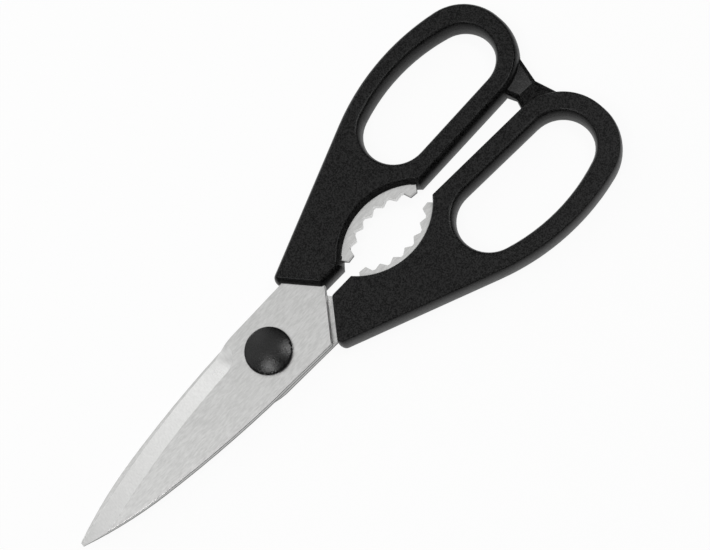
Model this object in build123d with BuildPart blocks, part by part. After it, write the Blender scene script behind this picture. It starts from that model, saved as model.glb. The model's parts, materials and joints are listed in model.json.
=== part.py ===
from build123d import *

import os
from math import atan, cos, degrees, radians, sin, sqrt, tan

os.makedirs("parts", exist_ok=True)

# Kitchen shears with moulded handles and a toothed jaw between them, shown closed and lying flat.
# Each half is drawn once, in a frame of its own: the pivot is its origin, +X points to its own
# handle and its own cutting edge, +Y to the finger loops, and +Z to the other blade.
# The rear half stands in that frame as it is, and the front half is the same one turned over.

# Sizes along and across the shears, in millimetres, from the pivot
blade_length = 82.9
handle_length = 125.9
ricasso_half_width = 12.4
heel_distance = 14.0
choil_distance = 5.6
shoulder_distance = 19.65
handle_end_distance = 21.8
end_angle = 38.3
handle_turn_angle = 0.2

# Blades: flat plates with one ground bevel
blade_thickness = 2.75
blade_gap = 0.04
bevel_width = 6.2
edge_land = 0.12
edge_break = 0.15
# Outline points, as shares of the ricasso's half width and of the blade's length, from tip to pivot
spine_shares = ((-0.06, 1.0), (-0.645, 0.651), (-0.847, 0.398), (-0.964, 0.145))
edge_shares = ((0.032, 1.0), (0.593, 0.603), (0.786, 0.386))
heel_share = 0.895
choil_share = 0.976
ricasso_top_share = 1.022

# Handles: flat mouldings round each tang, with a finger loop
handle_thickness = 10.8
handle_edge_break = 0.47
side_draft = 0.45
handle_corner_radius = 1.7
gap_corner_radius = 1.2
handle_corner_x = 14.9
handle_side_x = 35.3
handle_side_y = 66.2
loop_top_x = 34.8
loop_outer_corner_radius = 16.4
loop_inner_corner_radius = 17.6
lower_gap = 4.6
upper_gap = 4.6
top_gap = 8.6

# Finger holes: a straight inner side, one long outer arc and an end arc that touches both
hole_low_x = 9.95
hole_low_rise = 11.3
hole_high_x = 11.0
hole_high_drop = 17.4
hole_outer_x = 34.2
hole_outer_radius = 61.0
rim_flare = 1.75

# Jaw: arcs about one centre beyond the centre line, the teeth cut on the innermost
jaw_centre_x = 12.4
jaw_centre_y = 52.5
jaw_moulding_radius = 23.3
jaw_root_radius = 21.0
jaw_corner_radius = 1.0
jaw_end_angle = 42.3
tooth_count = 7
tooth_pitch_angle = 13.5
tooth_height = 1.45
tooth_width = 4.3
tooth_tip_radius = 0.4

# Tang: follows the handle's outline inside it
tang_cover = 2.0
tang_length = 72.0
tang_hole_radius = 2.6
tang_hole_place = (17.0, 49.0)

# Closing stops: blocks on the loops that meet on the centre line
stop_clearance = 0.05
stop_root_x = 11.0
stop_face_drop = 11.3
stop_face_length = 8.4
stop_face_height = 5.2
stop_root_drop = 12.0
stop_root_length = 14.9
stop_root_height = 8.4
stop_corner_radius = 1.5

# Pivot: a shouldered screw held by the rear blade, its washers and nut, and two press-on caps
running_gap = 0.04
face_gap = 0.02
screw_radius = 3.2
screw_flat_half_width = 2.6
thread_radius = 2.5
head_radius = 5.0
head_thickness = 1.15
slot_width = 1.2
slot_depth = 0.5
bearing_washer_radius = 4.8
bearing_washer_thickness = 0.3
spring_washer_radius = 4.4
spring_washer_thickness = 0.4
spring_washer_rise = 0.15
nut_flats = 8.0
nut_thickness = 1.15
nut_bevel = 0.3
cap_radius = 7.63
cap_wall_height = 1.1
cap_height = 2.58
cap_dome_radius = 22.0
cap_lift = 0.08
cap_skirt_wall = 1.0
cap_grip_wall = 0.8
cap_groove_depth = 1.0

overrun = 1.0

# The whole lies on its handles, with the middle of its length over the origin
half_thickness = handle_thickness / 2
pivot_point = (0, (blade_length - handle_length - side_draft) / 2, half_thickness)
rear = Plane(origin=pivot_point)
front = Plane(origin=pivot_point, x_dir=(-1, 0, 0), z_dir=(0, 0, -1))
rear_grip = rear.rotated((0, 0, handle_turn_angle))
front_grip = front.rotated((0, 0, handle_turn_angle))
blade_face = blade_gap / 2
blade_back = blade_face + blade_thickness
hole_low_y = handle_side_y + hole_low_rise
hole_high_y = handle_length - hole_high_drop
hole_outer_y = (hole_low_y + hole_high_y) / 2


def end_line_y(distance, x):
    """Height at x of the slanted line that passes the pivot at a distance."""
    return (distance - x * sin(radians(end_angle))) / cos(radians(end_angle))


def handle_outline():
    """Outline of one handle, before its finger hole is cut."""
    inner_x = lower_gap / 2
    outer_corner = (handle_corner_x, end_line_y(handle_end_distance, handle_corner_x))
    side_end = (handle_side_x, handle_side_y)
    with BuildSketch() as outline:
        with BuildLine():
            Line((inner_x, end_line_y(handle_end_distance, inner_x)), outer_corner)
            side = Line(outer_corner, side_end)
            loop_side = TangentArc(side_end, (loop_top_x, handle_length), tangent=side % 1)
            Polyline(
                loop_side @ 1,
                (top_gap / 2, handle_length),
                (upper_gap / 2, jaw_centre_y),
                (inner_x, jaw_centre_y - jaw_moulding_radius / 2),
                (inner_x, end_line_y(handle_end_distance, inner_x)),
            )
        make_face()
        with Locations((-jaw_centre_x, jaw_centre_y)):
            Circle(jaw_moulding_radius, mode=Mode.SUBTRACT)
        fillet(outline.vertices().group_by(Axis.Y)[-1].sort_by(Axis.X)[-1], loop_outer_corner_radius)
        fillet(outline.vertices().group_by(Axis.Y)[-1].sort_by(Axis.X)[0], loop_inner_corner_radius)
        fillet(outline.vertices().sort_by(Axis.Y)[0], handle_corner_radius)
        inner_corners = outline.vertices().sort_by(Axis.X)[:3].sort_by(Axis.Y)
        fillet(inner_corners[0], gap_corner_radius)
        fillet(inner_corners[1:], jaw_corner_radius)
    return outline.sketch


def end_arc_radius(start, inward):
    """Radius of the arc that leaves the start square to inward and touches the hole's outer arc."""
    reach_x = start[0] - (hole_outer_x - hole_outer_radius)
    reach_y = start[1] - hole_outer_y
    along = inward.X * reach_x + inward.Y * reach_y
    return (hole_outer_radius**2 - reach_x**2 - reach_y**2) / (2 * (hole_outer_radius + along))


def finger_hole(growth):
    """Outline of the finger hole, grown evenly all round."""
    inner_low, inner_high = Vector(hole_low_x, hole_low_y), Vector(hole_high_x, hole_high_y)
    inward = (inner_high - inner_low).normalized().rotate(Axis.Z, -90)
    outer_centre = Vector(hole_outer_x - hole_outer_radius, hole_outer_y)
    ends = []
    for start in (inner_low, inner_high):
        radius = end_arc_radius((start.X, start.Y), inward)
        centre = start + inward * radius
        away = (centre - outer_centre).normalized()
        touch = outer_centre + away * (hole_outer_radius + growth)
        middle_way = (away - inward).normalized()
        middle = centre + middle_way * (radius + growth)
        ends.append((start - inward * growth, middle, touch))
    (low_start, low_middle, low_touch), (high_start, high_middle, high_touch) = ends
    with BuildSketch() as hole:
        with BuildLine():
            Line(low_start, high_start)
            ThreePointArc(high_start, high_middle, high_touch)
            ThreePointArc(high_touch, (hole_outer_x + growth, hole_outer_y), low_touch)
            ThreePointArc(low_touch, low_middle, low_start)
        make_face()
    return hole.sketch


def jaw_tooth():
    """One tooth, pointing away from the root arc, with its tip rounded."""
    with BuildSketch() as tooth:
        Polygon(
            (-tooth_height, 0),
            (0, -tooth_width / 2),
            (tang_cover, -tooth_width / 2),
            (tang_cover, tooth_width / 2),
            (0, tooth_width / 2),
            align=None,
        )
        fillet(tooth.vertices().sort_by(Axis.X)[0], tooth_tip_radius)
    return tooth.sketch


def jaw():
    """The toothed strip of steel, from its tooth tips to behind the moulding."""
    behind = jaw_moulding_radius + 2 * tang_cover
    reach = behind * 2
    first_angle = -tooth_pitch_angle * (tooth_count - 1) / 2
    tooth = jaw_tooth()
    with BuildSketch() as strip:
        Circle(behind)
        Circle(jaw_root_radius, mode=Mode.SUBTRACT)
        side = reach * tan(radians(jaw_end_angle))
        Polygon((0, 0), (reach, -side), (reach, side), align=None, mode=Mode.INTERSECT)
        with PolarLocations(jaw_root_radius, tooth_count, first_angle, -2 * first_angle, endpoint=True):
            add(tooth)
    return strip.sketch


def outline_point(shares):
    """A point of the bare blade, from its shares of the ricasso's half width and the blade's length."""
    return (shares[0] * ricasso_half_width, -shares[1] * blade_length)


def cutting_edge():
    """The cutting edge, from its heel to the tip, as two arcs that run into each other."""
    tip, joint, middle = [outline_point(shares) for shares in edge_shares]
    with BuildLine() as edge:
        upper = ThreePointArc((heel_share * ricasso_half_width, -heel_distance), middle, joint)
        TangentArc(joint, tip, tangent=upper % 1)
    return edge.line


def blade_outline():
    """Outline of the bare blade, from its tip to the shoulder that the handle covers."""
    tip, joint, middle, top = [outline_point(shares) for shares in spine_shares]
    choil = (choil_share * ricasso_half_width, -choil_distance)
    side_x = ricasso_top_share * ricasso_half_width
    covered_x = lower_gap / 2 + tang_cover
    covered_distance = handle_end_distance + 2 * tang_cover
    edge = cutting_edge()
    with BuildSketch() as outline:
        with BuildLine():
            add(edge)
            Line(edge @ 1, tip)
            upper = ThreePointArc(top, middle, joint)
            TangentArc(joint, tip, tangent=upper % 1)
            Polyline(
                top,
                (-side_x, end_line_y(shoulder_distance, side_x)),
                (covered_x, end_line_y(shoulder_distance, -covered_x)),
                (covered_x, end_line_y(covered_distance, covered_x)),
                (side_x, end_line_y(covered_distance, side_x)),
                choil,
                edge @ 0,
            )
        make_face()
    return outline.sketch


def tang_outline():
    """The hidden tang: the handle's outline drawn in by the cover, clear of the finger hole."""
    with BuildSketch() as tang:
        add(handle_outline())
        offset(amount=-tang_cover, mode=Mode.REPLACE)
        add(finger_hole(rim_flare + tang_cover), mode=Mode.SUBTRACT)
        Rectangle(handle_length, tang_length, align=(Align.MIN, Align.MIN), mode=Mode.INTERSECT)
    return tang.sketch


def outward_section(side, place=(0, 0, 0)):
    """A plane square to the blades: X across them, and Y outwards from the mating face."""
    return Plane(origin=side.from_local_coords(place), x_dir=side.x_dir, z_dir=side.y_dir)


def blade(side, grip, screw_fit):
    """One blade with its tang, jaw strip, ground bevel and pivot hole."""
    across = Axis(side.origin, side.x_dir)
    bevel_rise = blade_thickness - edge_land
    run_on = 1 + overrun / bevel_width
    low, high = blade_face + edge_land, blade_face + edge_land + bevel_rise * run_on
    heel = (heel_share * ricasso_half_width, -heel_distance, 0)
    placed_edge = side.from_local_coords(cutting_edge())
    start, along = placed_edge @ 0, placed_edge % 0
    end, onward = placed_edge @ 1, placed_edge % 1
    with BuildPart() as steel:
        # Bare blade, its sharp outer arris broken along the spine and the shoulder
        with BuildSketch(side.offset(-blade_face)):
            add(blade_outline())
        extrude(amount=-blade_thickness)
        outer_face = steel.faces().sort_by(Axis(side.origin, side.z_dir))[0]
        spine = outer_face.edges().filter_by_position(across, -2 * ricasso_half_width, -overrun)
        chamfer(spine, edge_break)

        # Tang and toothed jaw
        with BuildSketch(grip.offset(-blade_face)):
            add(tang_outline())
            with Locations((-jaw_centre_x, jaw_centre_y)):
                add(jaw())
            with Locations(tang_hole_place):
                Circle(tang_hole_radius, mode=Mode.SUBTRACT)
        extrude(amount=-blade_thickness)

        # Bevel: a wedge swept along the cutting edge, which runs out round the heel as a cone
        with BuildLine():
            add(placed_edge)
            Line(end, end + onward * bevel_width)
        with BuildSketch(Plane(origin=start, x_dir=along.cross(side.z_dir), z_dir=along)):
            Polygon(
                (-overrun, low),
                (0, low),
                (bevel_width * run_on, high),
                (-overrun, high),
                align=None,
            )
        sweep(mode=Mode.SUBTRACT)
        with BuildSketch(outward_section(side, heel)):
            Polygon((0, low), (bevel_width * run_on, high), (0, high), align=None)
        revolve(axis=Axis(side.from_local_coords(heel), side.z_dir), mode=Mode.SUBTRACT)

        # Pivot hole
        with BuildSketch(side):
            add(screw_fit)
        extrude(amount=-2 * blade_back, mode=Mode.SUBTRACT)
    return steel.part


def round_fit():
    """The moving blade's hole, which turns on the screw's shoulder."""
    with BuildSketch() as hole:
        Circle(screw_radius + running_gap)
    return hole.sketch


def flatted_fit():
    """The rear blade's hole, whose two flats keep the screw from turning."""
    with BuildSketch() as hole:
        Circle(screw_radius + face_gap)
        width = 2 * (screw_flat_half_width + face_gap)
        Rectangle(2 * width, width, mode=Mode.INTERSECT)
    return hole.sketch


def closing_stop(grip):
    """Block that tapers from the loop to a flat face at the centre line, its long corners rounded."""
    root_y, face_y = handle_length - stop_root_drop, handle_length - stop_face_drop
    with BuildPart() as stop:
        with BuildSketch(grip):
            Polygon(
                (stop_clearance, face_y - stop_face_length / 2),
                (stop_root_x, root_y - stop_root_length / 2),
                (stop_root_x, root_y + stop_root_length / 2),
                (stop_clearance, face_y + stop_face_length / 2),
                align=None,
            )
        extrude(amount=stop_root_height, both=True)
        with BuildSketch(outward_section(grip)):
            Polygon(
                (stop_clearance, -stop_face_height / 2),
                (stop_root_x, -stop_root_height / 2),
                (stop_root_x, stop_root_height / 2),
                (stop_clearance, stop_face_height / 2),
                align=None,
            )
        extrude(amount=handle_length + overrun, mode=Mode.INTERSECT)
        ends = stop.faces().filter_by(Axis(grip.origin, grip.x_dir))
        fillet(stop.edges() - ends.edges(), stop_corner_radius)
    return stop.part


def handle(grip, steel):
    """One moulded handle: a flat body with a finger loop and a closing stop, moulded on its tang."""
    stop = closing_stop(grip)
    with BuildPart() as moulding:
        # Body, widest half way through, where the two halves of the mould part
        with BuildSketch(grip):
            add(handle_outline())
            offset(amount=side_draft, kind=Kind.INTERSECTION, mode=Mode.REPLACE)
        extrude(amount=half_thickness, both=True, taper=degrees(atan(side_draft / half_thickness)))
        flats = moulding.faces().filter_by(Axis.Z).sort_by(Axis.Z)
        chamfer(flats[0].edges() + flats[-1].edges(), handle_edge_break)
        add(stop)

        # Finger hole, narrowest half way through and opening towards both flats
        with BuildSketch(grip):
            add(finger_hole(0))
        flare_angle = degrees(atan(rim_flare / half_thickness))
        extrude(amount=half_thickness + overrun, both=True, taper=-flare_angle, mode=Mode.SUBTRACT)

        # Room for the steel, which also fills the tang's holes with plastic
        add(steel, mode=Mode.SUBTRACT)
    return moulding.part


def pivot_screw():
    """Shouldered screw: slotted head, round shoulder, two flats through the rear blade, thread end."""
    section = outward_section(front)
    head_base = washer_top + face_gap
    with BuildPart() as screw:
        with BuildSketch(section):
            Polygon(
                (0, head_base + head_thickness),
                (head_radius, head_base + head_thickness),
                (head_radius, head_base),
                (screw_radius, head_base),
                (screw_radius, -blade_back),
                (thread_radius, -blade_back),
                (thread_radius, -nut_base),
                (0, -nut_base),
                align=None,
            )
        revolve(axis=Axis(rear.origin, rear.z_dir))
        with BuildSketch(rear.offset(face_gap - blade_face)):
            Rectangle(4 * screw_radius, 4 * screw_radius)
            Rectangle(4 * screw_radius, 2 * screw_flat_half_width, mode=Mode.SUBTRACT)
        extrude(amount=-(blade_thickness + face_gap), mode=Mode.SUBTRACT)
        with BuildSketch(rear.offset(head_base + head_thickness)):
            Rectangle(4 * head_radius, slot_width)
        extrude(amount=-slot_depth, mode=Mode.SUBTRACT)
    return screw.part


def bearing_washer():
    """Thin flat washer that the moving blade turns against."""
    with BuildPart() as washer:
        with BuildSketch(rear.offset(blade_back + face_gap)):
            Circle(bearing_washer_radius)
            Circle(screw_radius + running_gap, mode=Mode.SUBTRACT)
        extrude(amount=bearing_washer_thickness)
    return washer.part


def spring_washer():
    """Slightly conical washer under the nut, which keeps the blades pressed together."""
    inner = thread_radius + running_gap
    top = blade_back + face_gap
    with BuildPart() as washer:
        with BuildSketch(outward_section(rear)):
            Polygon(
                (spring_washer_radius, top),
                (spring_washer_radius, top + spring_washer_thickness),
                (inner, top + spring_washer_thickness + spring_washer_rise),
                (inner, top + spring_washer_rise),
                align=None,
            )
        revolve(axis=Axis(rear.origin, rear.z_dir))
    return washer.part


def pivot_nut():
    """Hexagon nut on the thread end, its outer corners turned off."""
    with BuildPart() as nut:
        with BuildSketch(rear.offset(-nut_top)):
            RegularPolygon(nut_flats / 2, 6, major_radius=False)
            Circle(thread_radius + face_gap, mode=Mode.SUBTRACT)
        extrude(amount=-nut_thickness)
        corner = nut_flats / sqrt(3)
        with BuildSketch(outward_section(rear)):
            Polygon(
                (corner - nut_bevel, nut_base),
                (corner + nut_bevel, nut_base - 2 * nut_bevel),
                (corner + nut_bevel, nut_base),
                align=None,
            )
        revolve(axis=Axis(rear.origin, rear.z_dir), mode=Mode.SUBTRACT)
    return nut.part


def pivot_cap(side, lift, pocket_radius, pocket_base):
    """Domed cap over one end of the screw: an outer skirt, a groove and a ring that grips inside it."""
    base, top = blade_back + lift, blade_back + cap_height
    rim = blade_back + cap_wall_height
    grip_radius = pocket_radius + cap_grip_wall
    skirt_radius = cap_radius - cap_skirt_wall
    with BuildPart() as cap:
        with BuildSketch(outward_section(side)):
            Polygon(
                (0, rim + cap_radius),
                (cap_radius, rim),
                (cap_radius, base),
                (skirt_radius, base),
                (skirt_radius, base + cap_groove_depth),
                (grip_radius, base + cap_groove_depth),
                (grip_radius, base),
                (pocket_radius, base),
                (pocket_radius, pocket_base),
                (0, pocket_base),
                align=None,
            )
        revolve(axis=Axis(rear.origin, rear.z_dir))
        with Locations(side.from_local_coords((0, 0, cap_dome_radius - top))):
            Sphere(cap_dome_radius, rotation=(90, 0, 0), mode=Mode.INTERSECT)
    return cap.part


# Heights of the pivot's stack, outwards from the mating face
washer_top = blade_back + face_gap + bearing_washer_thickness
head_top = washer_top + face_gap + head_thickness
nut_top = blade_back + 2 * face_gap + spring_washer_thickness + spring_washer_rise
nut_base = nut_top + nut_thickness

front_steel = blade(front, front_grip, round_fit())
rear_steel = blade(rear, rear_grip, flatted_fit())
pieces = {
    "front_blade": front_steel,
    "rear_blade": rear_steel,
    "front_handle": handle(front_grip, front_steel),
    "rear_handle": handle(rear_grip, rear_steel),
    "pivot_screw": pivot_screw(),
    "bearing_washer": bearing_washer(),
    "spring_washer": spring_washer(),
    "pivot_nut": pivot_nut(),
    "front_pivot_cap": pivot_cap(front, cap_lift, head_radius + face_gap, head_top + face_gap),
    "rear_pivot_cap": pivot_cap(rear, 0, nut_flats / sqrt(3) + face_gap, nut_base + face_gap),
}
for name, piece in pieces.items():
    piece.label = name
    export_step(piece, f"parts/{name}.step")
    print(name, round(piece.volume, 1), "mm3")
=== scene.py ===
"""Kitchen shears: their finishes, rounded mouldings, screw thread and studio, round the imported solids."""
import json
from math import cos, pi, radians, sin, tan

import bmesh
import bpy
from mathutils import Matrix, Vector

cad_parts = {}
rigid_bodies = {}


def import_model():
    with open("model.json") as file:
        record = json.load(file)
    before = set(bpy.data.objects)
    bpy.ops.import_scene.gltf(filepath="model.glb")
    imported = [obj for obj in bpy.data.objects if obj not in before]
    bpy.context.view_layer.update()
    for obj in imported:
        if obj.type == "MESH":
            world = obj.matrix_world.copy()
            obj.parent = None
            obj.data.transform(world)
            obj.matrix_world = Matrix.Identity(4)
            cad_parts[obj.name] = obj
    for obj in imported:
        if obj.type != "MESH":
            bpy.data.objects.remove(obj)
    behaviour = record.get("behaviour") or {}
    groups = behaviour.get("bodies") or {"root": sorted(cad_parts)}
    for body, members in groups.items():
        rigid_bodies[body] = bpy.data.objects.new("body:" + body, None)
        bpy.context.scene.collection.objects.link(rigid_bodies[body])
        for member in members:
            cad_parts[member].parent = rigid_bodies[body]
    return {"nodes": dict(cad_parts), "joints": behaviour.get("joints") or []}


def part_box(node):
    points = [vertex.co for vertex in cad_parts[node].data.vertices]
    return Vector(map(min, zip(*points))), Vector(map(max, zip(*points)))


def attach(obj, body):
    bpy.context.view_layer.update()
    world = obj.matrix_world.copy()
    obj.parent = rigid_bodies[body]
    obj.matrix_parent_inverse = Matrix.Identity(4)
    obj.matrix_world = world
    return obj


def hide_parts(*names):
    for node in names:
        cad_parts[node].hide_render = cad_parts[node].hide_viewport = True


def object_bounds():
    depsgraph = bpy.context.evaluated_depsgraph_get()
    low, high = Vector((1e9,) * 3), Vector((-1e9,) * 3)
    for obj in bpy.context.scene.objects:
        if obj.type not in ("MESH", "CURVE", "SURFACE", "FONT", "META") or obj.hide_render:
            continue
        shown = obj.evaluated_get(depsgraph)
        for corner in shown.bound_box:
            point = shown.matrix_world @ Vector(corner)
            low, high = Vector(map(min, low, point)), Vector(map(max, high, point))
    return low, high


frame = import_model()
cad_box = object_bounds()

bl_info = {
    "name": "Kitchen shears",
    "version": (1, 0, 0),
    "blender": (4, 5, 0),
    "location": "3D View > Sidebar > Shears",
    "description": "Dresses closed kitchen shears with ground steel, moulded plastic and a plain studio",
    "category": "Object",
}

MM = 0.001
JOINT = frame["joints"][0]
PIVOT = Vector(JOINT["pos_m"])
HALVES = {"front": JOINT["child"], "rear": JOINT["parent"]}

# Joining the loose triangles of a solid, and telling its forms apart by their slopes
JOIN_DISTANCE = 0.0005 * MM
FLAT_ANGLE = radians(0.1)
GROUND_ANGLE = radians(20)
MOULDED_ANGLE = radians(52)
LEVEL_SLOPE = 0.999
BEVEL_SLOPE = 0.85
TOUCH = 0.02 * MM

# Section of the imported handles' walls, and where the rounder walls that stand in for them get their corners
HALF_THICKNESS = 5.4 * MM
SIDE_DRAFT = 0.45 * MM
EDGE_BREAK = 0.47 * MM
RIM_FLARE = 1.75 * MM
ROUND_INSET = 0.1 * MM
STOP_REACH = 1.5 * MM
WALL_SHARES = (0.25, 0.45, 0.6, 0.72, 0.81, 0.88, 0.93, 0.955, 0.975, 0.99)
LIP_SHARE = 0.972

# How much of a broad pattern joins the fine one, and the range of their sum that spans the two tones
MOTTLE_SHARE, MOTTLE_RANGE = 0.22, (0.49, 0.73)
CLOUD_SHARE, CLOUD_RANGE = 0.35, (0.48, 0.87)
PLASTIC_SPREAD = 0.04

# Torn band of a blanked edge, whose dark tone is partly painted shade of the gap beside the blade, with the
# burnished land over it, and the stains on turned steel
TORN_AND_SHADE_HEIGHT, LAND_START = 0.9 * MM, 1.4 * MM
TORN_ROUGHNESS, LAND_ROUGHNESS = 0.5, 0.34
TEAR_WIDTH, TEAR_REACH, TEAR_DEPTH = 0.5 * MM, 0.25 * MM, 0.008 * MM
STAIN_WIDTH = 1.5 * MM
TURNED_ROUGHNESS = (0.2, 0.36)

# Where the jaw's teeth stand between the handles
TEETH_START, TEETH_END = 19 * MM, 43 * MM
TEETH_REACH = 9 * MM

# How the bevels' grinding lines turn from straight across, and how the floor stands and shows
BEVEL_LAY = radians(13)
FLOOR_GAP = 0.05 * MM
SEEN_SHARE = 0.93
MIRRORED_SHARE = 0.5


def linear(code):
    """Linear colour of an sRGB hex code."""
    parts = [int(code[start:start + 2], 16) / 255 for start in (0, 2, 4)]
    return tuple(part / 12.92 if part <= 0.04045 else ((part + 0.055) / 1.055) ** 2.4 for part in parts)


def solid(colour):
    """A linear colour with full alpha, as colour sockets take it."""
    return (*colour, 1)


def add_node(tree, kind, inputs=None, **settings):
    """Adds a node with its settings; each input is a value, or another node's output to link."""
    made = tree.nodes.new(kind)
    for name, value in settings.items():
        setattr(made, name, value)
    for key, value in (inputs or {}).items():
        if isinstance(value, bpy.types.NodeSocket):
            tree.links.new(value, made.inputs[key])
        else:
            made.inputs[key].default_value = value
    return made


def new_material(name, **plain):
    """A material with its surface shader, whose uniform values stand on the shader's own sockets."""
    material = bpy.data.materials.new(name)
    material.use_nodes = True
    tree = material.node_tree
    shader = tree.nodes["Principled BSDF"]
    for key, value in plain.items():
        shader.inputs[key.replace("_", " ")].default_value = value
    return material, tree, shader


# Moulded plastic


def eroded_black_plastic(name, dark, light, grain, depth, mottle, gloss, roughness):
    """Black polypropylene moulded in a spark-eroded mould: matt, finely pebbled and faintly mottled.

    The real grain of about 0.1 mm is too fine to show, so it is drawn coarser."""
    material, tree, shader = new_material(name, IOR=1.49)
    shader.inputs["Specular IOR Level"].default_value = gloss
    place = add_node(tree, "ShaderNodeTexCoord").outputs["Object"]
    pebbles = add_node(tree, "ShaderNodeTexNoise", {
        "Vector": place, "Scale": 1 / grain, "Detail": 1, "Roughness": 0.5})
    patches = add_node(tree, "ShaderNodeTexNoise", {
        "Vector": place, "Scale": 1 / mottle, "Detail": 4, "Roughness": 0.62})
    blend = add_node(tree, "ShaderNodeMath", {
        0: patches.outputs["Fac"], 1: MOTTLE_SHARE, 2: pebbles.outputs["Fac"]}, operation="MULTIPLY_ADD")
    tone = add_node(tree, "ShaderNodeMapRange", {
        "Value": blend.outputs[0], "From Min": MOTTLE_RANGE[0], "From Max": MOTTLE_RANGE[1]})
    colour = add_node(tree, "ShaderNodeMix", {
        0: tone.outputs[0], 6: solid(dark), 7: solid(light)}, data_type="RGBA")
    rough = add_node(tree, "ShaderNodeMapRange", {
        "Value": patches.outputs["Fac"], "From Min": 0.3, "From Max": 0.7,
        "To Min": roughness - PLASTIC_SPREAD, "To Max": roughness + PLASTIC_SPREAD})
    bump = add_node(tree, "ShaderNodeBump", {
        "Height": pebbles.outputs["Fac"], "Strength": 1.0, "Distance": depth})
    tree.links.new(colour.outputs[2], shader.inputs["Base Color"])
    tree.links.new(rough.outputs[0], shader.inputs["Roughness"])
    tree.links.new(bump.outputs[0], shader.inputs["Normal"])
    return material


# Stainless steel


def ground_stainless(name, dark, light, roughness, spread, cloud, grit, depth, lines, turn=0.0):
    """Stainless blade steel, ground or milled: silky, with the tool's fine drawn-out marks and faint clouds.

    The real marks are some hundredths of a millimetre wide, too fine to show, so they are drawn coarser."""
    material, tree, shader = new_material(name, Metallic=1.0)
    place = add_node(tree, "ShaderNodeTexCoord").outputs["Object"]
    turned = add_node(tree, "ShaderNodeMapping", {
        "Vector": place, "Rotation": (0, 0, turn), "Scale": lines}).outputs[0]
    clouds = add_node(tree, "ShaderNodeTexNoise", {
        "Vector": place, "Scale": 1 / cloud, "Detail": 5, "Roughness": 0.62})
    marks = add_node(tree, "ShaderNodeTexNoise", {
        "Vector": turned, "Scale": 1 / grit, "Detail": 2, "Roughness": 0.55})
    sums = add_node(tree, "ShaderNodeMath", {
        0: clouds.outputs["Fac"], 1: CLOUD_SHARE, 2: marks.outputs["Fac"]}, operation="MULTIPLY_ADD")
    tone = add_node(tree, "ShaderNodeMapRange", {
        "Value": sums.outputs[0], "From Min": CLOUD_RANGE[0], "From Max": CLOUD_RANGE[1]})
    colour = add_node(tree, "ShaderNodeMix", {
        0: tone.outputs[0], 6: solid(dark), 7: solid(light)}, data_type="RGBA")
    rough = add_node(tree, "ShaderNodeMapRange", {
        "Value": clouds.outputs["Fac"], "From Min": 0.3, "From Max": 0.7,
        "To Min": roughness + spread, "To Max": roughness - spread})
    bump = add_node(tree, "ShaderNodeBump", {
        "Height": marks.outputs["Fac"], "Strength": 1.0, "Distance": depth})
    tree.links.new(colour.outputs[2], shader.inputs["Base Color"])
    tree.links.new(rough.outputs[0], shader.inputs["Roughness"])
    tree.links.new(bump.outputs[0], shader.inputs["Normal"])
    return material


def blanked_stainless(name, foot, bright, torn_and_shade):
    """Cut edge of the blanked plate: a bright burnished band above, and below it a duller band where the
    steel tore, drawn darker still as painted shade of the narrow gap beside the blade.
    """
    material, tree, shader = new_material(name, Metallic=1.0)
    place = add_node(tree, "ShaderNodeTexCoord").outputs["Object"]
    height = add_node(tree, "ShaderNodeSeparateXYZ", {0: place}).outputs["Z"]
    tears = add_node(tree, "ShaderNodeTexNoise", {
        "Vector": place, "Scale": 1 / TEAR_WIDTH, "Detail": 3, "Roughness": 0.6})
    ragged = add_node(tree, "ShaderNodeMath", {
        0: tears.outputs["Fac"], 1: TEAR_REACH, 2: height}, operation="MULTIPLY_ADD")
    # Below this ragged height the tone drops to the lower band, which is darkened partly as painted shade of
    # the gap beside the blade.
    land = add_node(tree, "ShaderNodeMapRange", {
        "Value": ragged.outputs[0], "From Min": foot + TORN_AND_SHADE_HEIGHT, "From Max": foot + LAND_START})
    colour = add_node(tree, "ShaderNodeMix", {
        0: land.outputs[0], 6: solid(torn_and_shade), 7: solid(bright)}, data_type="RGBA")
    rough = add_node(tree, "ShaderNodeMapRange", {
        "Value": land.outputs[0], "To Min": TORN_ROUGHNESS, "To Max": LAND_ROUGHNESS})
    bump = add_node(tree, "ShaderNodeBump", {
        "Height": tears.outputs["Fac"], "Strength": 0.6, "Distance": TEAR_DEPTH})
    tree.links.new(colour.outputs[2], shader.inputs["Base Color"])
    tree.links.new(rough.outputs[0], shader.inputs["Roughness"])
    tree.links.new(bump.outputs[0], shader.inputs["Normal"])
    return material


def turned_stainless(name, dark, light, groove, depth):
    """Stainless of the small round parts as it leaves the lathe: fine rings that glint round the pivot."""
    material, tree, shader = new_material(name, Metallic=1.0)
    place = add_node(tree, "ShaderNodeTexCoord").outputs["Object"]
    centred = add_node(tree, "ShaderNodeMapping", {"Vector": place, "Location": tuple(-PIVOT)}).outputs[0]
    rings = add_node(tree, "ShaderNodeTexWave", {
        "Vector": centred, "Scale": 1 / (pi * groove), "Distortion": 0.6, "Detail": 2},
        wave_type="RINGS", rings_direction="Z")
    stains = add_node(tree, "ShaderNodeTexNoise", {"Vector": place, "Scale": 1 / STAIN_WIDTH, "Detail": 3})
    tone = add_node(tree, "ShaderNodeMix", {
        0: stains.outputs["Fac"], 6: solid(dark), 7: solid(light)}, data_type="RGBA")
    rough = add_node(tree, "ShaderNodeMapRange", {
        "Value": stains.outputs["Fac"], "To Min": TURNED_ROUGHNESS[0], "To Max": TURNED_ROUGHNESS[1]})
    bump = add_node(tree, "ShaderNodeBump", {
        "Height": rings.outputs["Fac"], "Strength": 0.5, "Distance": depth})
    tree.links.new(tone.outputs[2], shader.inputs["Base Color"])
    tree.links.new(rough.outputs[0], shader.inputs["Roughness"])
    tree.links.new(bump.outputs[0], shader.inputs["Normal"])
    return material


# Settings


def colour_setting(name, description, code):
    """A colour that can be changed in the panel, given by its sRGB hex code."""
    return bpy.props.FloatVectorProperty(
        name=name, description=description, default=linear(code), min=0.0, max=1.0, subtype="COLOR")


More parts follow.
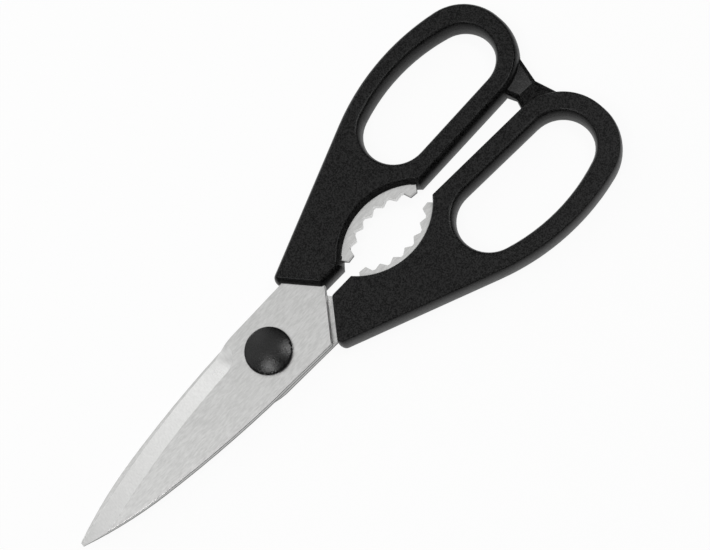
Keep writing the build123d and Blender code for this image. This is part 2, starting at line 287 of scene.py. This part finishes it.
class BladeSettings(bpy.types.PropertyGroup):
    """Finish of the blades."""
    satin_dark: colour_setting("Satin, dark", "Darker tone of the satin flat faces", "B3B3B2")
    satin_light: colour_setting("Satin, light", "Lighter tone of the satin flat faces", "C5C5C4")
    bevel_dark: colour_setting("Bevel, dark", "Darker tone of the ground bevels", "D4D4D3")
    bevel_light: colour_setting("Bevel, light", "Lighter tone of the ground bevels", "DEDEDD")
    teeth_dark: colour_setting("Teeth, dark", "Darker tone of the jaw's milled teeth", "E9E9E8")
    teeth_light: colour_setting("Teeth, light", "Lighter tone of the jaw's milled teeth", "F2F2F1")
    edge_land: colour_setting("Edge, land", "Burnished upper band of the blanked edges", "C4C4C3")
    # The lower band's tone is drawn darker than the steel alone, as painted shade of the gap beside the
    # blade.
    edge_torn_and_shade: colour_setting("Edge, torn", "Torn lower band of the blanked edges", "767675")
    satin_roughness: bpy.props.FloatProperty(
        name="Satin roughness", description="How matt the flat faces of the blades are",
        default=0.34, min=0.0, max=1.0, subtype="FACTOR")
    bevel_roughness: bpy.props.FloatProperty(
        name="Bevel roughness", description="How matt the ground bevels are",
        default=0.3, min=0.0, max=1.0, subtype="FACTOR")
    cloud_size: bpy.props.FloatProperty(
        name="Cloud size", description="Width of the faint clouds of tone on the flat faces",
        default=6 * MM, unit="LENGTH", subtype="DISTANCE")


class HandleSettings(bpy.types.PropertyGroup):
    """Form of the moulded handles, and finish of the handles and caps."""
    plastic_dark: colour_setting("Plastic, dark", "Darker tone of the plastic's grain", "000000")
    handle_light: colour_setting("Handles, light", "Lighter tone of the handles' grain", "282828")
    cap_light: colour_setting("Caps, light", "Lighter tone of the caps' grain", "0E0E0E")
    soft_edge: bpy.props.FloatProperty(
        name="Soft edge", description="How far the front handle's outer wall draws in up to its upper flat",
        default=1.9 * MM, unit="LENGTH", subtype="DISTANCE")
    firm_edge: bpy.props.FloatProperty(
        name="Firm edge", description="How far the other outer walls draw in up to a flat",
        default=1.0 * MM, unit="LENGTH", subtype="DISTANCE")
    rim_rounding: bpy.props.FloatProperty(
        name="Rim rounding", description="How far a finger hole's rounded wall draws back up to its lip",
        default=1.55 * MM, unit="LENGTH", subtype="DISTANCE")
    rim_lip: bpy.props.FloatProperty(
        name="Rim lip", description="Width of the faintly sloping lip round a finger hole",
        default=0.5 * MM, unit="LENGTH", subtype="DISTANCE")
    stop_fall: bpy.props.FloatProperty(
        name="Stop fall", description="Slope at which the closing stops get thinner towards the loops' ends",
        default=radians(9), unit="ROTATION", subtype="ANGLE")
    stop_rounding: bpy.props.FloatProperty(
        name="Stop rounding", description="How far the edges of the stops' meeting faces are broken",
        default=0.35 * MM, unit="LENGTH", subtype="DISTANCE")
    grain: bpy.props.FloatProperty(
        name="Grain", description="Width of the moulded grain, drawn coarser than real so that it shows",
        default=0.38 * MM, unit="LENGTH", subtype="DISTANCE")
    roughness: bpy.props.FloatProperty(
        name="Roughness", description="How matt the moulded plastic is",
        default=0.3, min=0.0, max=1.0, subtype="FACTOR")


class ScrewSettings(bpy.types.PropertyGroup):
    """Thread of the pivot screw."""
    pitch: bpy.props.FloatProperty(
        name="Pitch", description="Distance from one thread to the next", default=0.5 * MM,
        unit="LENGTH", subtype="DISTANCE")
    depth: bpy.props.FloatProperty(
        name="Depth", description="Height of the thread over its root", default=0.3 * MM,
        unit="LENGTH", subtype="DISTANCE")


class StudioSettings(bpy.types.PropertyGroup):
    """Camera, lamps and floor."""
    aim: bpy.props.FloatVectorProperty(
        name="Aim", description="Point that the camera looks at",
        default=(1.7253 * MM, 13.9413 * MM, 5.4 * MM), unit="LENGTH", subtype="TRANSLATION")
    distance: bpy.props.FloatProperty(
        name="Distance", description="From the camera to its aim", default=593.24 * MM,
        unit="LENGTH", subtype="DISTANCE")
    azimuth: bpy.props.FloatProperty(
        name="Azimuth", description="Camera's direction round the shears, from the blade tips",
        default=radians(80.108), unit="ROTATION", subtype="ANGLE")
    elevation: bpy.props.FloatProperty(
        name="Elevation", description="Camera's height over the horizon",
        default=radians(74.222), unit="ROTATION", subtype="ANGLE")
    roll: bpy.props.FloatProperty(
        name="Roll", description="Camera's turn about its own line of sight",
        default=radians(36.006), unit="ROTATION", subtype="ANGLE")
    lens: bpy.props.FloatProperty(
        name="Lens", description="Focal length in millimetres on a 36 mm wide sensor", default=96.523)
    room_light: bpy.props.FloatProperty(
        name="Room light", description="Strength of the even light from all round", default=0.12)
    soft_box: bpy.props.FloatProperty(
        name="Soft box", description="Brightness of the wide soft box that the flat steel mirrors",
        default=0.82)
    side_box: bpy.props.FloatProperty(
        name="Side boxes", description="Brightness of the two soft boxes that the front bevel mirrors",
        default=0.92)
    low_lamp: bpy.props.FloatProperty(
        name="Low lamp", description="Brightness of the low lamp that glints along the left edges",
        default=5.0)
    lamps: bpy.props.FloatProperty(
        name="Lamps", description="Brightness of the two small lamps that glint on the caps", default=10.0)
    lamp_distance: bpy.props.FloatProperty(
        name="Lamp distance", description="From every lamp to the camera's aim", default=0.9,
        unit="LENGTH", subtype="DISTANCE")
    floor_size: bpy.props.FloatProperty(
        name="Floor size", description="Side of the floor", default=3.0, unit="LENGTH", subtype="DISTANCE")


# Mesh work


def merged_copy(node, name):
    """A copy of a CAD node's mesh as a new piece, with joined triangles and whole flat faces."""
    mesh = frame["nodes"][node].data.copy()
    mesh.name = name
    mesh.materials.clear()
    form = bmesh.new()
    form.from_mesh(mesh)
    bmesh.ops.remove_doubles(form, verts=form.verts, dist=JOIN_DISTANCE)
    bmesh.ops.dissolve_limit(form, angle_limit=FLAT_ANGLE, verts=form.verts, edges=form.edges)
    open_edges = [edge for edge in form.edges if not edge.is_manifold]
    if open_edges:
        raise RuntimeError(f"{name} has {len(open_edges)} open edges")
    form.to_mesh(mesh)
    form.free()
    piece = bpy.data.objects.new(name, mesh)
    bpy.context.scene.collection.objects.link(piece)
    return piece


def walls(form, flat):
    """The outer wall and the finger hole's wall: steep faces that run up to a flat without a sharp turn."""
    left = {face for face in form.faces if abs(face.normal.z) < LEVEL_SLOPE
            and min(abs(corner.co.x) for corner in face.verts) > STOP_REACH}
    found = []
    while left:
        waiting = [left.pop()]
        group = set(waiting)
        while waiting:
            for edge in waiting.pop().edges:
                for face in edge.link_faces:
                    if face in left and edge.calc_face_angle() < MOULDED_ANGLE:
                        left.remove(face)
                        group.add(face)
                        waiting.append(face)
        if any(flat - corner.co.z < TOUCH for face in group for corner in face.verts):
            found.append(group)
    reach = {id(group): max(abs(corner.co.x) for face in group for corner in face.verts) for group in found}
    return sorted(found, key=lambda group: -reach[id(group)])


def as_packed(share):
    """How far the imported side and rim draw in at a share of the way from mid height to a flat.

    The side has a straight draft up to its broken edge, and the rim a straight flare."""
    broken = 1 - EDGE_BREAK / HALF_THICKNESS
    side = SIDE_DRAFT * min(share, broken) + max(0, share - broken) / (1 - broken) * (
        SIDE_DRAFT * (1 - broken) + EDGE_BREAK)
    return side, RIM_FLARE * share


def as_moulded(share, edge, settings):
    """The same as a quarter of an ellipse, which rounds over into the flat without an edge.

    The side stands in by a hair at mid height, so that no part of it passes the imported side."""
    turn = 1 - (1 - share ** 2) ** 0.5
    lip = max(0, share - LIP_SHARE) / (1 - LIP_SHARE)
    return ROUND_INSET + edge * turn, settings.rim_rounding * turn + settings.rim_lip * lip


def slope_stop(form, middle, settings):
    """Thins a stop towards the loops' ends and breaks the edges of its meeting face.

    Returns the height over the middle that each of its corners had before."""
    stop = [face for face in form.faces if min(abs(corner.co.x) for corner in face.verts) <= STOP_REACH]
    corners = {corner for face in stop for corner in face.verts}
    before = {corner: corner.co.z - middle for corner in corners}
    top = max(before.values())
    start = min(corner.co.y for corner in corners)
    for corner in corners:
        fall = (corner.co.y - start) * tan(settings.stop_fall)
        corner.co.z = middle + before[corner] * (1 - fall / top)
    meeting = [face for face in stop if abs(face.normal.x) > LEVEL_SLOPE]
    away = 1 if max((corner.co.x for corner in form.verts), key=abs) > 0 else -1
    outline = {corner for face in meeting for corner in face.verts}
    bmesh.ops.inset_region(form, faces=meeting, thickness=settings.stop_rounding, use_even_offset=True)
    for corner in outline:
        corner.co.x += away * settings.stop_rounding
    return before


def curve_walls(piece, upper_edge, settings):
    """Gives the straight drafted walls of a handle the round section that they have when moulded."""
    form = bmesh.new()
    form.from_mesh(piece.data)
    flat = max(corner.co.z for corner in form.verts)
    middle = flat - HALF_THICKNESS
    before = slope_stop(form, middle, settings)
    for share in (*WALL_SHARES, *(-share for share in WALL_SHARES), 0):
        parts = set()
        for group in walls(form, flat):
            for face in group:
                parts.update((face, *face.edges, *face.verts))
        level = middle + share * HALF_THICKNESS
        bmesh.ops.bisect_plane(
            form, geom=list(parts), plane_co=(0, 0, level), plane_no=(0, 0, 1), dist=TOUCH)
    moves = {}
    for which, group in enumerate(walls(form, flat)):
        for corner in {corner for face in group for corner in face.verts}:
            outward = Vector((0, 0))
            for face in corner.link_faces:
                if face in group:
                    outward += face.normal.xy.normalized()
            height = corner.co.z - middle
            share = min(1, abs(height) / HALF_THICKNESS)
            packed_share = min(1, abs(before.get(corner, height)) / HALF_THICKNESS)
            edge = upper_edge if height > 0 else settings.firm_edge
            moves[corner] = outward.normalized() * (
                as_packed(packed_share)[which] - as_moulded(share, edge, settings)[which])
    for corner, move in moves.items():
        corner.co.xy += move
    form.to_mesh(piece.data)
    form.free()


def apply_modifiers(piece):
    """Turns what a piece's modifiers make into its own plain mesh."""
    graph = bpy.context.evaluated_depsgraph_get()
    mesh = bpy.data.meshes.new_from_object(
        piece.evaluated_get(graph), preserve_all_data_layers=True, depsgraph=graph)
    mesh.name = piece.name
    piece.modifiers.clear()
    piece.data = mesh


def bake(piece, sharp):
    """Makes a piece plain mesh, smooth between its sharp edges and even on its flat faces."""
    apply_modifiers(piece)
    for face in piece.data.polygons:
        face.use_smooth = True
    piece.data.set_sharp_from_angle(angle=sharp)
    piece.modifiers.new("even shading", "WEIGHTED_NORMAL").keep_sharp = True
    apply_modifiers(piece)


def stand_in(piece, node, body):
    """The piece takes a CAD node's place and body, and the node is hidden."""
    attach(piece, body)
    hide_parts(node)


# Pieces


def finish_of(face):
    """Which finish a blade's face has, told from its slope and, for steep ones, from its place."""
    slope = abs(face.normal.z)
    if slope > LEVEL_SLOPE:
        return "satin"
    if slope > BEVEL_SLOPE:
        return "bevel"
    toothed = abs(face.center.x) < TEETH_REACH and TEETH_START < face.center.y < TEETH_END
    return "teeth" if toothed else "edge"


class SHEARS_OT_blades(bpy.types.Operator):
    """Grinds both blades: satin faces, brighter bevels, milled teeth and blanked edges with painted shade in
    their lower band
    """
    bl_idname = "shears.blades"
    bl_label = "Blades"

    def execute(self, context):
        settings = context.scene.shears_blades
        for side, body in HALVES.items():
            node = f"{side}_blade"
            piece = merged_copy(node, f"{node}_ground")
            finishes = {
                "satin": ground_stainless(
                    f"Satin ground stainless, {side}", settings.satin_dark, settings.satin_light,
                    settings.satin_roughness, spread=0.02, cloud=settings.cloud_size, grit=0.4 * MM,
                    depth=0.004 * MM, lines=(1, 0.2, 1)),
                "bevel": ground_stainless(
                    f"Cross ground bevel, {side}", settings.bevel_dark, settings.bevel_light,
                    settings.bevel_roughness, spread=0.04, cloud=9 * MM, grit=0.5 * MM,
                    depth=0.006 * MM, lines=(0.12, 1, 1), turn=BEVEL_LAY if side == "front" else -BEVEL_LAY),
                "teeth": ground_stainless(
                    f"Milled jaw teeth, {side}", settings.teeth_dark, settings.teeth_light,
                    settings.bevel_roughness, spread=0.04, cloud=2 * MM, grit=0.3 * MM,
                    depth=0.004 * MM, lines=(1, 1, 0.3)),
                # The blanked edges' lower band is darkened as painted shade of the gap between the blades.
                "edge": blanked_stainless(
                    f"Blanked edge, {side}", foot=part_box(node)[0].z, bright=settings.edge_land,
                    torn_and_shade=settings.edge_torn_and_shade),
            }
            for finish in finishes.values():
                piece.data.materials.append(finish)
            order = list(finishes)
            for face in piece.data.polygons:
                face.material_index = order.index(finish_of(face))
            bake(piece, GROUND_ANGLE)
            stand_in(piece, node, body)
        return {"FINISHED"}


class SHEARS_OT_handles(bpy.types.Operator):
    """Rounds the forms of both moulded handles and gives them their grain"""
    bl_idname = "shears.handles"
    bl_label = "Handles"

    def execute(self, context):
        settings = context.scene.shears_handles
        plastic = eroded_black_plastic(
            "Spark-eroded black polypropylene", settings.plastic_dark, settings.handle_light,
            grain=settings.grain, depth=0.012 * MM, mottle=1.8 * MM, gloss=0.12, roughness=settings.roughness)
        for side, body in HALVES.items():
            node = f"{side}_handle"
            piece = merged_copy(node, f"{node}_moulding")
            curve_walls(piece, settings.soft_edge if side == "front" else settings.firm_edge, settings)
            bake(piece, MOULDED_ANGLE)
            piece.data.materials.append(plastic)
            stand_in(piece, node, body)
        return {"FINISHED"}


class SHEARS_OT_pivot_caps(bpy.types.Operator):
    """Smooths the domes of both pivot caps and gives them their texture"""
    bl_idname = "shears.pivot_caps"
    bl_label = "Pivot caps"

    def execute(self, context):
        settings = context.scene.shears_handles
        plastic = eroded_black_plastic(
            "Finely textured black polypropylene", settings.plastic_dark, settings.cap_light,
            grain=0.42 * MM, depth=0.04 * MM, mottle=1.2 * MM, gloss=0.38, roughness=0.28)
        body = HALVES["rear"]
        for side in HALVES:
            node = f"{side}_pivot_cap"
            piece = merged_copy(node, f"{node}_moulding")
            bake(piece, MOULDED_ANGLE)
            piece.data.materials.append(plastic)
            stand_in(piece, node, body)
        return {"FINISHED"}


def thread_tree():
    """Geometry nodes that wind a thread ridge round the turned screw's end."""
    tree = bpy.data.node_groups.new("Screw thread", "GeometryNodeTree")
    sockets = {}
    for name, kind in (
        ("Geometry", "Geometry"), ("Pitch", "Float"), ("Depth", "Float"), ("Root radius", "Float"),
        ("Length", "Float"), ("Start", "Vector"), ("Steel", "Material"),
    ):
        socket = tree.interface.new_socket(name, in_out="INPUT", socket_type=f"NodeSocket{kind}")
        sockets[name] = socket.identifier
    tree.interface.new_socket("Geometry", in_out="OUTPUT", socket_type="NodeSocketGeometry")
    given = add_node(tree, "NodeGroupInput").outputs
    turns = add_node(tree, "ShaderNodeMath", {0: given["Length"], 1: given["Pitch"]}, operation="DIVIDE")
    helix = add_node(tree, "GeometryNodeCurveSpiral", {
        "Resolution": 40, "Rotations": turns.outputs[0], "Start Radius": given["Root radius"],
        "End Radius": given["Root radius"], "Height": given["Length"]})
    upright = add_node(tree, "GeometryNodeSetCurveNormal", {"Curve": helix.outputs[0]}, mode="Z_UP")
    ridge = add_node(
        tree, "GeometryNodeCurvePrimitiveCircle", {"Resolution": 3, "Radius": given["Depth"]}, mode="RADIUS")
    aimed = add_node(tree, "GeometryNodeTransform", {"Geometry": ridge.outputs[0], "Rotation": (0, 0, pi)})
    thread = add_node(tree, "GeometryNodeCurveToMesh", {
        "Curve": upright.outputs[0], "Profile Curve": aimed.outputs[0], "Fill Caps": True})
    placed = add_node(tree, "GeometryNodeTransform", {
        "Geometry": thread.outputs[0], "Translation": given["Start"]})
    both = add_node(tree, "GeometryNodeJoinGeometry", {"Geometry": placed.outputs[0]})
    tree.links.new(given["Geometry"], both.inputs["Geometry"])
    real = add_node(tree, "GeometryNodeRealizeInstances", {"Geometry": both.outputs[0]})
    painted = add_node(tree, "GeometryNodeSetMaterial", {
        "Geometry": real.outputs[0], "Material": given["Steel"]})
    add_node(tree, "NodeGroupOutput", {0: painted.outputs[0]})
    return tree, sockets


class SHEARS_OT_pivot_screw(bpy.types.Operator):
    """Cuts the thread on the end of the pivot screw"""
    bl_idname = "shears.pivot_screw"
    bl_label = "Pivot screw"

    def execute(self, context):
        settings = context.scene.shears_screw
        end_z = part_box("pivot_screw")[0].z
        shoulder_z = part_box("rear_blade")[0].z
        piece = merged_copy("pivot_screw", "pivot_screw_threaded")
        end = [corner.co for corner in piece.data.vertices if corner.co.z < shoulder_z - TOUCH]
        outer = max((place - PIVOT).xy.length for place in end)
        root = outer - settings.depth
        for corner in piece.data.vertices:
            arm = (corner.co - PIVOT).xy
            if corner.co.z < shoulder_z + TOUCH and abs(arm.length - outer) < TOUCH:
                arm = arm.normalized() * root
                corner.co.x, corner.co.y = PIVOT.x + arm.x, PIVOT.y + arm.y
        steel = turned_stainless(
            "Turned stainless screw", linear("B8B8B6"), linear("C6C6C4"), groove=0.12 * MM, depth=0.006 * MM)
        tree, sockets = thread_tree()
        winding = piece.modifiers.new("thread", "NODES")
        winding.node_group = tree
        margin = settings.pitch / 2
        for name, value in {
            "Pitch": settings.pitch, "Depth": settings.depth, "Root radius": root,
            "Length": shoulder_z - end_z - 2 * margin, "Start": (PIVOT.x, PIVOT.y, end_z + margin),
            "Steel": steel,
        }.items():
            winding[sockets[name]] = value
        bake(piece, GROUND_ANGLE)
        stand_in(piece, "pivot_screw", HALVES["rear"])
        return {"FINISHED"}


class SHEARS_OT_washers_and_nut(bpy.types.Operator):
    """Gives the washers and the nut under the caps their turned and pressed steel"""
    bl_idname = "shears.washers_and_nut"
    bl_label = "Washers and nut"

    def execute(self, context):
        turned = turned_stainless(
            "Turned stainless nut", linear("B4B4B2"), linear("C4C4C2"), groove=0.15 * MM, depth=0.006 * MM)
        spring = turned_stainless(
            "Hard spring stainless", linear("A6A6A3"), linear("B6B6B4"), groove=0.3 * MM, depth=0.003 * MM)
        for node, steel in {"pivot_nut": turned, "bearing_washer": turned, "spring_washer": spring}.items():
            holder = frame["nodes"][node]
            for slot in holder.material_slots:
                slot.material = steel
        return {"FINISHED"}


# Studio


def pale_share(tree):
    """How far a ray gets the white background: whole when seen or through glass, a part when mirrored."""
    path = add_node(tree, "ShaderNodeLightPath").outputs
    mirrored = add_node(
        tree, "ShaderNodeMath", {0: path["Is Glossy Ray"], 1: MIRRORED_SHARE}, operation="MULTIPLY")
    seen = add_node(tree, "ShaderNodeMath", {
        0: path["Is Camera Ray"], 1: mirrored.outputs[0]}, operation="MAXIMUM")
    whole = add_node(tree, "ShaderNodeMath", {
        0: seen.outputs[0], 1: path["Is Transmission Ray"]}, operation="MAXIMUM")
    return whole.outputs[0]


class SHEARS_OT_studio(bpy.types.Operator):
    """Sets the floor, the soft lamps, the even room light and the camera"""
    bl_idname = "shears.studio"
    bl_label = "Studio"

    def execute(self, context):
        settings = context.scene.shears_studio
        scene = context.scene
        self.lay_floor(scene, settings)
        self.light_room(scene, settings)
        self.hang_lamps(scene, settings)
        self.set_camera(scene, settings)
        scene.view_settings.view_transform = "Standard"
        return {"FINISHED"}

    def lay_floor(self, scene, settings):
        """A white board under the shears, which keeps their shadow."""
        half = settings.floor_size / 2
        level = cad_box[0].z - FLOOR_GAP
        mesh = bpy.data.meshes.new("floor")
        corners = [(x, y, level) for x, y in ((-half, -half), (half, -half), (half, half), (-half, half))]
        mesh.from_pydata(corners, [], [(0, 1, 2, 3)])
        floor = bpy.data.objects.new("floor", mesh)
        scene.collection.objects.link(floor)
        material, tree, shader = new_material("White studio board", Roughness=0.9)
        shader.inputs["Base Color"].default_value = solid(linear("F2F2F2"))
        shader.inputs["Specular IOR Level"].default_value = 0.1
        glow = add_node(tree, "ShaderNodeEmission", {"Color": solid(linear("FFFFFF")), "Strength": 1.0})
        share = add_node(tree, "ShaderNodeMath", {0: pale_share(tree), 1: SEEN_SHARE}, operation="MULTIPLY")
        mixed = add_node(tree, "ShaderNodeMixShader", {
            0: share.outputs[0], 1: shader.outputs[0], 2: glow.outputs[0]})
        tree.links.new(mixed.outputs[0], tree.nodes["Material Output"].inputs["Surface"])
        mesh.materials.append(material)

    def light_room(self, scene, settings):
        """Weak even light from all round."""
        world = bpy.data.worlds.new("Studio room")
        world.use_nodes = True
        background = world.node_tree.nodes["Background"]
        background.inputs["Color"].default_value = solid(linear("FFFFFF"))
        background.inputs["Strength"].default_value = settings.room_light
        scene.world = world

    def hang_lamps(self, scene, settings):
        """Round lamps that face the shears; each one's power follows from its width and its brightness."""
        aim = Vector(settings.aim)
        for name, direction, width, brightness in (
            ("soft box above", (-0.38, 0.02, 0.92), 0.80, settings.soft_box),
            ("soft box at the side", (-0.90, 0.0, 0.43), 0.90, settings.side_box),
            ("soft box beyond the tips", (-0.48, -0.58, 0.65), 0.60, settings.side_box),
            ("low lamp at the side", (-0.98, 0.0, 0.15), 0.22, settings.low_lamp),
            ("lamp over the loops", (0.10, 0.41, 0.90), 0.28, settings.lamps),
            ("lamp over the tips", (0.09, -0.34, 0.93), 0.28, settings.lamps),
        ):
            data = bpy.data.lights.new(name, "AREA")
            data.shape = "DISK"
            data.size = width
            data.energy = brightness * (pi * width / 2) ** 2
            lamp = bpy.data.objects.new(name, data)
            towards = Vector(direction).normalized()
            turned = towards.to_track_quat("Z", "Y").to_matrix().to_4x4()
            lamp.matrix_world = Matrix.Translation(aim + towards * settings.lamp_distance) @ turned
            scene.collection.objects.link(lamp)

    def set_camera(self, scene, settings):
        """The camera at its distance from the aim, turned about its line of sight by the roll."""
        data = bpy.data.cameras.new("camera")
        camera = bpy.data.objects.new("camera", data)
        azimuth, elevation = settings.azimuth, settings.elevation
        back = Vector((sin(azimuth) * cos(elevation), -cos(azimuth) * cos(elevation), sin(elevation)))
        level = Vector((0, 0, 1)).cross(back).normalized()
        up = back.cross(level) * cos(settings.roll) + level * sin(settings.roll)
        stand = Matrix((up.cross(back), up, back)).transposed().to_4x4()
        stand.translation = Vector(settings.aim) + back * settings.distance
        camera.matrix_world = stand
        data.sensor_width = 36
        data.lens = settings.lens
        data.clip_start, data.clip_end = 0.01, 10
        scene.collection.objects.link(camera)
        scene.camera = camera


PIECES = (
    SHEARS_OT_blades, SHEARS_OT_handles, SHEARS_OT_pivot_caps, SHEARS_OT_pivot_screw,
    SHEARS_OT_washers_and_nut, SHEARS_OT_studio,
)
SETTINGS = {
    "shears_blades": BladeSettings, "shears_handles": HandleSettings,
    "shears_screw": ScrewSettings, "shears_studio": StudioSettings,
}


class SHEARS_PT_panel(bpy.types.Panel):
    """Lists the pieces of the shears"""
    bl_label = "Kitchen shears"
    bl_space_type = "VIEW_3D"
    bl_region_type = "UI"
    bl_category = "Shears"

    def draw(self, context):
        for piece in PIECES:
            self.layout.operator(piece.bl_idname)
        for name, group in SETTINGS.items():
            box = self.layout.box()
            for field in group.__annotations__:
                box.prop(getattr(context.scene, name), field)


def register():
    for group in SETTINGS.values():
        bpy.utils.register_class(group)
    for name, group in SETTINGS.items():
        setattr(bpy.types.Scene, name, bpy.props.PointerProperty(type=group))
    for piece in PIECES:
        bpy.utils.register_class(piece)
    bpy.utils.register_class(SHEARS_PT_panel)


def unregister():
    bpy.utils.unregister_class(SHEARS_PT_panel)
    for piece in reversed(PIECES):
        bpy.utils.unregister_class(piece)
    for name in SETTINGS:
        delattr(bpy.types.Scene, name)
    for group in reversed(list(SETTINGS.values())):
        bpy.utils.unregister_class(group)


def main():
    register()
    for piece in PIECES:
        group, name = piece.bl_idname.split(".")
        getattr(getattr(bpy.ops, group), name)()


if __name__ == "__main__":
    main()
